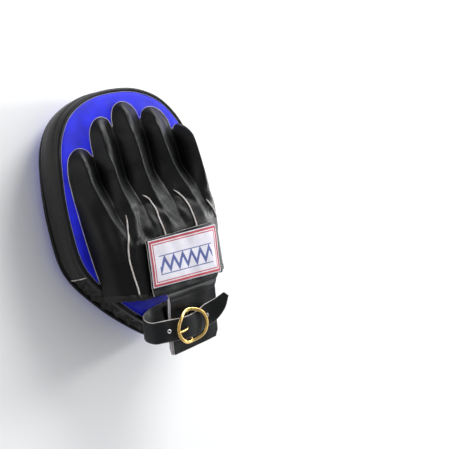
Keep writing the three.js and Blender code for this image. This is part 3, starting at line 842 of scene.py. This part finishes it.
def glove_height(x, y):
    """Height of the glove's leather above the back panel, negative outside its outline."""
    polygon = np.vstack([GLOVE_LINE, [[79, -160], [-78, -160]]])
    side, _ = distance_to(x, y, GLOVE_LINE)
    side = side * inside_outline(x, y, polygon)
    wall = np.clip(side / 7, 0, 1)
    wall = np.sqrt(1 - (1 - wall) ** 2)
    rise, crest = stalls_at(x, y)
    tip = (1 - 0.25 * smooth(60, 125, y)) * (0.4 + 0.6 * smooth(0, 20, side))
    stall = rise * (0.07 + 0.93 * crest) * tip * wall
    hand = (cover_height(x, y) - 8 * (1 - crest) * smooth(-36, 6, y)) * wall
    height = stall + (hand - stall) * smooth(50, 4, y)
    covered = smooth(-24, -38, y) * smooth(-50, -38, x)
    loose = wall * (1 - covered)
    for line, amount, half in FOLDS:
        d, along = distance_to(x, y, line)
        fade = np.sin(pi * np.clip(along * 0.94 + 0.03, 0, 1)) ** 0.6
        height = height + 0.55 * amount * loose * fade * np.exp(-((d / half) ** 2))
    height = height + (0.3 * ripple(x, y * 0.4, 41, 24) + 0.1 * ripple(x, y, 42, 12)) * loose
    height = height - 1.2 * covered
    return np.where(side < 0, -2.2 * np.clip(-side / 1.2, 0, 1), height)


def glove():
    """The leather cover of the hand and fingers, one sheet with a stall for each finger."""
    columns = np.linspace(-90, 99, 190)
    rows = np.linspace(0, 1, 210)
    x = np.broadcast_to(columns, (len(rows), len(columns)))
    start = mouth_y(x)
    y = start + rows[:, None] * (133 - start)
    z = glove_height(x, y)
    for _ in range(GLOVE_SMOOTHING):
        beside = z[1:-1, :-2] + z[1:-1, 2:]
        z[1:-1, 1:-1] = (2 * z[1:-1, 1:-1] + z[:-2, 1:-1] + z[2:, 1:-1] + beside) / 6
    keep = z.ravel() > -2.1
    verts = np.stack([x.ravel(), y.ravel(), (z + BACK_Z).ravel()], axis=1)
    faces = [f for f in grid_faces(len(rows), len(columns)) if any(keep[k] for k in f)]
    used = sorted({k for f in faces for k in f})
    renumber = {k: i for i, k in enumerate(used)}
    faces = [tuple(renumber[k] for k in f) for f in faces]
    skin = piece("glove", verts[used], faces, BLACK, replaces=GLOVE_NODES)
    thicken(skin, 1.8)


def glove_trim():
    """Raw leather edges: all round the glove, and along the seams on the hand."""
    line = GLOVE_LINE[8:-8:2]
    path = np.column_stack([line, np.full(len(line), BACK_Z + 0.25)])
    cord("glove_sewn_edge", path, 0.42, RAW, sides=8)
    radii = 0.85 * np.concatenate([np.linspace(0.35, 1, 6), np.ones(54)])
    for name, points in SEAM_EDGES.items():
        line = spline(points, 60)
        path = np.column_stack([line, BACK_Z + glove_height(line[:, 0], line[:, 1]) + 1.0])
        cord(f"{name}_strip", path, radii, RAW, sides=10, replaces=[name])


def hem():
    """The rumpled leather that binds the glove's mouth: a flattened roll along its edge."""
    across = np.linspace(-79, 78, 300)
    edge_y = mouth_y(across)
    edge_z = BACK_Z + np.maximum(glove_height(across, edge_y + 0.5), 1.2) - 1.3
    bare = smooth(-30, -46, across) + smooth(46, 62, across)
    rings = []
    for x, y, z, open_share in zip(across, edge_y, edge_z, bare):
        tall = 2.0 + 1.7 * open_share + 0.3 * ripple(x, 0, 71, 11)
        thick = 1.35 + 0.3 * ripple(x, 9, 72, 7)
        z = z + 0.4 * ripple(x, 3, 73, 9)
        y = y + 0.8 - tall
        rings.append([(x, y + tall * cos(a), z + thick * sin(a)) for a in circle(18)])
    roll = lofted("mouth_hem", rings, WALL, replaces=["mouth_binding"])


# ---------- wrist flap, label and tab ----------


def tab_point(c, down, lift, grow=0):
    """A point of the wrist tab: c across it from 0 to 1, down its length in mm, lift out of it."""
    share = down / TAB_LENGTH
    left = TAB_LEFT - TAB_SKEW_LEFT * share - grow
    right = TAB_RIGHT - TAB_SKEW_RIGHT * share + grow
    x = left + (right - left) * c
    y = TAB_TOP_Y - down * cos(TAB_SLOPE) - lift * sin(TAB_SLOPE)
    z = TAB_Z - down * sin(TAB_SLOPE) + lift * cos(TAB_SLOPE)
    return np.array([x, y, z])


def flap_left(y):
    """The flap's left edge, which steps in to the tab's."""
    edge_x = -34.8 + 0.137 * (np.maximum(y, -91) + 31)
    return edge_x + (TAB_LEFT - edge_x) * smooth(-90.5, -93, y)


def flap_right(y):
    """The flap's right edge, which steps in to the tab's."""
    edge_x = 60 + 0.19 * (np.maximum(y, -86) + 31)
    return edge_x + (TAB_RIGHT - edge_x) * smooth(-86, -101, y)


def panel_z(x, y, lift):
    """Height of the flap over the hand and of the tab beyond it, as one sheet."""
    over = BACK_Z + cover_height(x, np.maximum(y, -92)) + lift
    down = (TAB_TOP_Y - y) / cos(TAB_SLOPE)
    beyond = TAB_Z - down * sin(TAB_SLOPE) + lift + 0.3
    return over + (beyond - over) * smooth(-84, -97, y)


def flap_and_tab():
    """The outer leather: a flap over the back of the hand that narrows into the wrist tab."""
    flap_rows = np.linspace(FLAP_TOP_Y, -89.5, 52)
    hinge_rows = np.linspace(-90, -94, 17)
    tab_rows = np.linspace(-95, TAB_END_Y, 54)
    rows = np.concatenate([flap_rows, hinge_rows, tab_rows])
    verts = []
    for y in rows:
        end = smooth(-149, TAB_END_Y, y)
        down = np.clip((-96 - y) / 58, 0, 1)
        left = flap_left(y) - 4 * down + 1.5 * end
        right = flap_right(y) - TAB_SKEW_RIGHT * down - 3 * end
        lift = FLAP_LIFT + 1.4 + 2.2 * smooth(-90, -100, y)
        for c in np.linspace(0, 1, 56):
            x = left + (right - left) * c
            yy = y - (3 - 3.5 * c) * smooth(-120, TAB_END_Y, y)
            sag = 0.5 * ripple(x, yy * 1.5, 51, 30)
            first = 1.1 * exp(-(((yy + 93) / 1.8) ** 2))
            second = 0.7 * exp(-(((yy + 99.5) / 1.4) ** 2))
            verts.append((x, yy, panel_z(x, y, lift) + sag - first - second))
    faces = grid_faces(len(rows), 56)
    nodes = ["wrist_flap", "tab_outer"]
    sheet = piece("wrist_flap_outer", verts, faces, [BLACK, RAW], body=None, replaces=nodes)
    thicken(sheet, 1.9)
    sheet.modifiers["thickness"].material_offset_rim = 1
    return sheet


def tab_layer(name, lift, grow, thick, material, node):
    """One of the two layers under the tab's outer leather."""
    verts = []
    for down in np.linspace(4, TAB_LENGTH + 0.5, 40):
        end = smooth(TAB_LENGTH - 8, TAB_LENGTH, down)
        for c in np.linspace(0, 1, 30):
            x, y, z = tab_point(c, down + 3.5 * (1 - c) * down / TAB_LENGTH, lift, grow - 2.5 * end)
            verts.append((x, y, z + 0.4 * ripple(x, y * 1.5, 51, 30)))
    layer = piece(name, verts, grid_faces(40, 30), material, body=None, slot="felt", replaces=[node])
    return thicken(layer, thick)


def label_material():
    """White woven label: a red double border and a plain blue zigzag ornament between two rules, with
    painted shade between its woven threads.
    """
    n = Nodes("woven_label")
    uv = n.add("ShaderNodeUVMap", uv_map="weave")
    parts = n.add("ShaderNodeSeparateXYZ")
    n.link(uv.outputs["UV"], parts.inputs["Vector"])
    u, v = parts.outputs["X"], parts.outputs["Y"]

    def fold(value, span):
        """Distance in from either end of a span, in mm."""
        return n.math("MINIMUM", value, n.math("SUBTRACT", span, value))

    inset = n.math("MINIMUM", fold(u, LABEL_SIZE[0]), fold(v, LABEL_SIZE[1]))

    def band(value, start, stop):
        """1 where the value lies between start and stop, else 0."""
        above = n.math("GREATER_THAN", value, start)
        return n.math("MULTIPLY", above, n.math("LESS_THAN", value, stop))

    border = n.math("MAXIMUM", band(inset, 1.1, 3.5), band(inset, 4.7, 5.8))
    wave = n.math("PINGPONG", u, 6.0)
    height = n.math("ADD", n.math("MULTIPLY", wave, 2.1), 16)
    gap = n.math("ABSOLUTE", n.math("SUBTRACT", v, height), 0.0)
    within = band(inset, 11.0, 99.0)
    zigzag = n.math("MULTIPLY", n.math("LESS_THAN", gap, 3.6), within)
    from_middle = n.math("ABSOLUTE", n.math("SUBTRACT", v, 22.0), 0.0)
    rules = n.math("MULTIPLY", band(from_middle, 9.2, 10.2), within)
    blue = n.math("MAXIMUM", zigzag, rules)
    weave = n.add("ShaderNodeTexWave", Scale=1.9, Distortion=0.6)
    n.link(uv.outputs["UV"], weave.inputs["Vector"])
    cross = n.add("ShaderNodeTexWave", Scale=1.9, Distortion=0.6, bands_direction="Y")
    n.link(uv.outputs["UV"], cross.inputs["Vector"])
    threads = n.math("MULTIPLY", weave.outputs["Fac"], cross.outputs["Fac"])
    soil = n.noise(n.coords(), 60, detail=4)
    white = n.mixed(n.between(soil, 0.4, 0.9), (0.80, 0.78, 0.84), (0.62, 0.59, 0.66))
    color = n.mixed(border, white, (0.45, 0.016, 0.025))
    color = n.mixed(blue, color, (0.05, 0.08, 0.30))
    # Painted shade: darker in the gaps between the woven threads.
    color = n.mixed(n.spread(threads, 0.16, 0.0), color, (0.2, 0.2, 0.24))
    return n.set(Base_Color=color, Roughness=0.75, Normal=n.bump(threads, 0.12, 0.6), Sheen_Weight=0.15)


LABEL_CORNERS = [(-34, -31.5), (63, -34), (53, -87), (-41, -82)]


def label_z(x, y, lift):
    """Height of the label over the flap. It stays flat where the flap bends down to the tab."""
    return panel_z(x, max(y, -84), FLAP_LIFT + lift)


def label():
    """The woven label sewn to the flap, with its stitches."""
    rows, columns = 44, 80
    corners = np.array(LABEL_CORNERS)
    top_left, top_right, low_right, low_left = corners
    verts, uvs = [], []
    for v in np.linspace(0, 1, rows):
        for u in np.linspace(0, 1, columns):
            upper = top_left * (1 - u) + top_right * u
            lower = low_left * (1 - u) + low_right * u
            x, y = upper * (1 - v) + lower * v
            verts.append((x, y, label_z(x, y, 2.1) + 0.35 * ripple(x, y, 61, 24)))
            uvs.append((u * LABEL_SIZE[0], (1 - v) * LABEL_SIZE[1]))
    patch = piece(
        "woven_label", verts, grid_faces(rows, columns), label_material(),
        slot="woven_label", replaces=["label"],
    )
    layer = patch.data.uv_layers.new(name="weave")
    for loop in patch.data.loops:
        layer.data[loop.index].uv = uvs[loop.vertex_index]
    thicken(patch, 0.7, offset=1)
    centre = corners.mean(axis=0)
    line = []
    for a, b in zip(corners, np.roll(corners, -1, axis=0)):
        for t in np.linspace(0, 1, 30, endpoint=False):
            p = a + (b - a) * t
            p = p + (centre - p) * 0.03
            line.append((*p, float(label_z(*p, 3.0))))
    stitches(
        "label_stitching", line, [(0, 0, 1)] * len(line), PALE_THREAD,
        pitch=3.2, length=2.2, radius=0.2, slot="woven_label",
    )


# ---------- buckle and strap ----------

TAB_FRAME = Matrix.Translation((0, TAB_TOP_Y, TAB_Z)) @ Matrix.Rotation(TAB_SLOPE, 4, "X")
BUCKLE_FRAME = (
    TAB_FRAME
    @ Matrix.Translation((-7, -(TAB_TOP_Y + 130) / cos(TAB_SLOPE), 5.5))
    @ Matrix.Rotation(radians(3), 4, "Z")
)
# In the buckle's frame: the height of its bar, the ring's highest and lowest, and the ring's half sizes.
BAR_Z = 2.8
RING_TOP = BAR_Z + 7.9
RING_DIP = BAR_Z + 2.4
RING_RADIUS = 18
RING_REACH = 20


def at_buckle(points):
    """Points of the buckle's frame in the row frame."""
    return np.array([BUCKLE_FRAME @ Vector(p) for p in points])


BUCKLE_Y = at_buckle([(0, 1, 0)])[0] - at_buckle([(0, 0, 0)])[0]


def ring_height(x):
    """The ring dips at its two joins with the bar, so that it clears the strap at its sides."""
    share = min(abs(x) / RING_REACH / 0.85, 1)
    return RING_DIP + (RING_TOP - RING_DIP) * sin(pi / 2 * share) ** 2


def rounded(angle):
    """Cosine of an angle, squared off a little."""
    c = cos(angle)
    return copysign(abs(c) ** 0.8, c)


def buckle():
    """The brass ring and its bar, whose ends bend up to the ring."""
    rings = []
    for a in circle(120):
        out = np.array([cos(a), sin(a), 0])
        x = RING_REACH * cos(a)
        centre = np.array([x, RING_RADIUS * sin(a), ring_height(x)])
        ring = []
        for k in circle(20):
            rise = 1.55 * rounded(k - pi / 2)
            ring.append(centre + out * 1.9 * rounded(k) + np.array([0, 0, rise]))
        rings.append(at_buckle(ring))
    lofted("brass_ring", rings, BRASS, closed=True, body="buckle", replaces=["buckle_frame"])
    bar = []
    for y in np.linspace(-17.5, 17.5, 31):
        bar.append((0, y, BAR_Z + (RING_DIP - BAR_Z) * smooth(13, 17.5, abs(y))))
    cord("brass_bar", at_buckle(bar), 1.3, BRASS, sides=20, body="buckle")


def tongue():
    """The brass pin that lies on the ring, and its loop round the bar."""
    points = [
        (-0.6, 0, BAR_Z + 2.4), (-3, 0, BAR_Z + 3.2), (-5.4, 0, BAR_Z + 5.6), (-8.6, 0, BAR_Z + 8.6),
        (-14.5, 0, RING_TOP + 2.6), (-22.6, 0, RING_TOP + 3.2),
    ]
    line = spline(points, 40)
    radii = 1.15 - 0.35 * smooth(0.75, 1, np.linspace(0, 1, 40))
    radii[-3:] *= (0.93, 0.75, 0.4)
    cord(
        "tongue_pin", at_buckle(line), radii, BRASS, sides=16,
        body="tongue", replaces=["buckle_tongue"],
    )
    section = [(1.5, -2.2), (2.5, -2.0), (2.7, 0), (2.5, 2.0), (1.5, 2.2), (1.45, 0)]
    loop = []
    for a in circle(40):
        loop.append(at_buckle([(cos(a) * r, w, BAR_Z + sin(a) * r) for r, w in section]))
    lofted("tongue_loop", loop, BRASS, closed=True, body="tongue")


def chape():
    """The leather loop that holds the bar to the tab, in two legs beside the tongue, and its rivets."""
    mid = 1.3 + 0.3 + 0.6
    arc = [(-mid * sin(a), 0, BAR_Z - mid * cos(a)) for a in np.linspace(0, pi * 0.86, 12)]
    low_leg = [(x, 0, BAR_Z - mid) for x in np.linspace(19, 2, 12)]
    top_leg = [(x, 0, BAR_Z + mid - (x - 0.5) * 0.5) for x in (1.5, 3, 4.5)]
    top_leg += [(x, 0, BAR_Z - mid + 1.5) for x in np.linspace(6.5, 19, 9)]
    path = np.array(low_leg + arc + top_leg)
    for name, offset, replaces in (("chape_leg_1", -5.6, ["buckle_chape"]), ("chape_leg_2", 5.6, [])):
        leg = at_buckle(path + np.array([0, offset, 0]))
        ribbon(
            name, leg, [BUCKLE_Y] * len(leg), [4.8] * len(leg), 1.1, [STRAP_LEATHER, RAW],
            bow=0, body="wrist_tab", replaces=replaces,
        )
    dome = [(0.1, 0.95), (0.8, 0.9), (1.5, 0.72), (2.1, 0.35), (2.35, 0)]
    for name, y, node in (("rivet_1", -5, "chape_rivet_left"), ("rivet_2", 5, "chape_rivet_right")):
        rings = []
        for r, h in dome:
            ring = [(14 + r * cos(a), y + r * sin(a), 3.1 + h) for a in circle(24)]
            rings.append(at_buckle(ring))
        lofted(name, rings, NICKEL, body="wrist_tab", replaces=[node])


# The strap's middle line: sewn flat at the heel, up round the wrist, then through the buckle to its end.
STRAP_HEEL = [(17, -114), (0, -114.8), (-18, -116)]
STRAP_CURL = [(-33, -118.3, 0.6), (-44, -120.6, 5.0), (-50, -125, 13.0), (-48.8, -129.2, 24.5)]
STRAP_RUN = [
    (-33.7, 3.2, 1.4), (-24, 1.8, 3.1), (-13, 0.4, 5.6), (-5, 0, 7.3), (2, 0, 7.6),
    (11, 0.4, 6.4), (22, 2.2, 5.2), (32, 6, 7.5), (40, 13, 13), (45.5, 24, 21),
]
HEEL_AXIS = np.array([0.42, 0.91, 0])
EYELETS = (-27.5, 24.5)


def strap():
    """The wrist strap in one piece. It turns from the heel's axis to the buckle's and ends in a point."""
    sewn = BACK_Z + 0.3 + STRAP_THICK / 2
    points = [(x, y, sewn) for x, y in STRAP_HEEL]
    points += [(x, y, sewn + z) for x, y, z in STRAP_CURL]
    points += [tuple(p) for p in at_buckle(STRAP_RUN)]
    path = spline(points, 230)
    run = np.linspace(0, 1, 230)
    lean = smooth(0.2, 0.45, run)[:, None]
    axis = HEEL_AXIS * (1 - lean) + BUCKLE_Y * lean
    along = directions(path)
    sides = axis - np.sum(axis * along, axis=1, keepdims=True) * along
    sides /= np.linalg.norm(sides, axis=1, keepdims=True)
    narrow = np.clip((run - 0.84) / 0.16, 0, 1)
    widths = STRAP_WIDTH * (1 - 0.74 * narrow**1.2)
    band = ribbon(
        "wrist_strap", path, sides, widths, STRAP_THICK, [STRAP_LEATHER, RAW],
        body=None, replaces=["strap_run", "strap_base"],
    )
    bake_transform(band)


def run_frame(x):
    """Centre and direction of the strap's run at x, in the buckle's frame."""
    line = spline(STRAP_RUN, 400)
    k = int(np.argmin(np.abs(line[:, 0] - x)))
    d = line[min(k + 2, 399)] - line[max(k - 2, 0)]
    return line[k], d / np.linalg.norm(d)


def eyelets():
    """The nickel eyelets in the strap's run."""
    lip = [(1.2, 1.2), (1.3, 2.0), (1.7, 2.25), (2.2, 2.15), (2.5, 1.8), (2.5, 1.2)]
    side = np.array([0, 1.0, 0])
    for k, x in enumerate(EYELETS, start=1):
        centre, t = run_frame(x)
        up = np.array([-t[2], 0, t[0]])
        rings = []
        for r, h in lip:
            ring = [centre + up * h + r * (t * cos(a) + side * sin(a)) for a in circle(32)]
            rings.append(at_buckle(ring))
        node = f"strap_eyelet_{k}"
        lofted(f"eyelet_{k}", rings, [NICKEL, BLACK], body="wrist_tab", replaces=[node])


def anchor():
    """The leather patch over the strap's sewn end, thinner towards its rim."""
    (x0, y0, _), (x1, y1, top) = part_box("anchor_patch")
    verts = []
    for v in np.linspace(0, 1, 14):
        for u in np.linspace(0, 1, 18):
            rim = min(u, 1 - u, v, 1 - v)
            drop = 0.9 * (1 - min(rim / 0.12, 1)) ** 2
            verts.append(((x0 + (x1 - x0) * u) / MM, (y0 + (y1 - y0) * v) / MM, top / MM + 0.3 - drop))
    patch = piece("strap_anchor_patch", verts, grid_faces(14, 18), BLACK, replaces=["anchor_patch"])
    thicken(patch, 1.3)


# ---------- camera, floor and light ----------

CAMERA_PITCH, CAMERA_YAW, CAMERA_SPIN = -0.15441, 0.59409, 0.21653
CAMERA_DISTANCE = 1.100  # metres
FOCAL_LENGTH = 973 / 450  # as a share of the picture's width
SENSOR_WIDTH = 36
AIM_RIGHT, AIM_DOWN = radians(4.73), radians(0.72)
FLOOR_HALF = 6  # metres

# Each light: its place along the camera's axes, in metres from the pad's middle, its size and its power.
LIGHTS = [
    ("key", (0.7, 1.15, 0.1), (0.6, 0.6), 15),
    ("side", (1.05, 0.3, -0.36), (0.2, 0.6), 8),
    ("fill", (-0.9, 0.3, 0.9), (0.8, 0.8), 3.5),
]
# The sky is brightest low down on the little finger's side, and dim overhead and on the thumb's side.
SKY_COLOR = (0.95, 0.97, 1, 1)
SKY_BRIGHT_SIDE = (0.7, 0.2, -0.75)
SKY_FADE = (-0.5, 0.75)
SKY_STRENGTH = (0.42, 2.5)


def camera():
    """The camera at the photo's angle. Gives the turn from the camera's directions to the world's."""
    rotation = (
        Matrix.Rotation(CAMERA_YAW, 3, "Y") @ Matrix.Rotation(CAMERA_PITCH, 3, "X")
        @ Matrix.Rotation(CAMERA_SPIN, 3, "Z")
    )
    world = rotation.transposed()
    place = Vector((0, 0, BACK_Z * MM)) + world @ Vector((0, 0, CAMERA_DISTANCE))
    aim = Matrix.Rotation(-AIM_RIGHT, 3, "Y") @ Matrix.Rotation(-AIM_DOWN, 3, "X")
    data = bpy.data.cameras.new("camera")
    data.sensor_width = SENSOR_WIDTH
    data.lens = SENSOR_WIDTH * FOCAL_LENGTH
    data.clip_end = 20
    obj = bpy.data.objects.new("camera", data)
    bpy.context.scene.collection.objects.link(obj)
    obj.matrix_world = Matrix.Translation(place) @ (world @ aim).to_4x4()
    bpy.context.scene.camera = obj
    return world


def area_light(name, place, target, size, power):
    data = bpy.data.lights.new(name, "AREA")
    data.shape = "RECTANGLE"
    data.size, data.size_y = size
    data.energy = power
    obj = bpy.data.objects.new(name, data)
    bpy.context.scene.collection.objects.link(obj)
    obj.location = place
    obj.rotation_euler = (target - place).to_track_quat("-Z", "Y").to_euler()


def floor():
    n = Nodes("pale_floor")
    patches = n.noise(n.coords(), 3, detail=2)
    n.set(Base_Color=n.mixed(patches, (0.88, 0.88, 0.88), (0.92, 0.92, 0.92)), Roughness=0.8)
    h = FLOOR_HALF
    mesh = bpy.data.meshes.new("floor")
    mesh.from_pydata([(-h, -h, 0), (h, -h, 0), (h, h, 0), (-h, h, 0)], [], [(0, 1, 2, 3)])
    mesh.materials.append(n.material)
    obj = bpy.data.objects.new("floor", mesh)
    bpy.context.scene.collection.objects.link(obj)


def sky():
    """Soft studio light from all round."""
    world = bpy.data.worlds.new("studio")
    bpy.context.scene.world = world
    world.use_nodes = True
    nodes, links = world.node_tree.nodes, world.node_tree.links
    direction = nodes.new("ShaderNodeTexCoord")
    toward = nodes.new("ShaderNodeVectorMath")
    toward.operation = "DOT_PRODUCT"
    toward.inputs[1].default_value = SKY_BRIGHT_SIDE
    fade = nodes.new("ShaderNodeMapRange")
    fade.interpolation_type = "SMOOTHSTEP"
    for socket, value in zip(list(fade.inputs)[1:5], SKY_FADE + SKY_STRENGTH):
        socket.default_value = value
    nodes["Background"].inputs["Color"].default_value = SKY_COLOR
    links.new(direction.outputs["Generated"], toward.inputs[0])
    links.new(toward.outputs["Value"], fade.inputs["Value"])
    links.new(fade.outputs["Result"], nodes["Background"].inputs["Strength"])


# ---------- build ----------

bpy.context.scene.view_settings.view_transform = "Standard"
view = camera()
floor()
sky()
middle = Vector((0, 0, 0.06))
for name, place, size, power in LIGHTS:
    area_light(name, middle + view @ Vector(place), middle, size, power)

for node in ("impact_foam", "core_foam", "rear_foam"):
    materials = bpy.data.objects[node].data.materials
    materials.clear()
    materials.append(FOAM)

strike_cover()
target()
badge()
walls()
piping("front_piping_cord", FRONT_SEAM, "front_piping")
piping("rear_piping_cord", REAR_SEAM, "rear_piping")
seam_details("front_seam", FRONT_SEAM, -1)
seam_details("rear_seam", REAR_SEAM, 1)
back_panel()
glove()
glove_trim()
hem()

outer = flap_and_tab()
core = tab_layer("tab_pale_core", 4.0, 0.8, 1.6, FELT, "tab_core")
lining = tab_layer("tab_lining_leather", 2.0, 0.2, 1.6, BLACK, "tab_lining")
for layer in (outer, core, lining):
    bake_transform(layer)
label()
buckle()
tongue()
chape()
strap()
eyelets()
anchor()
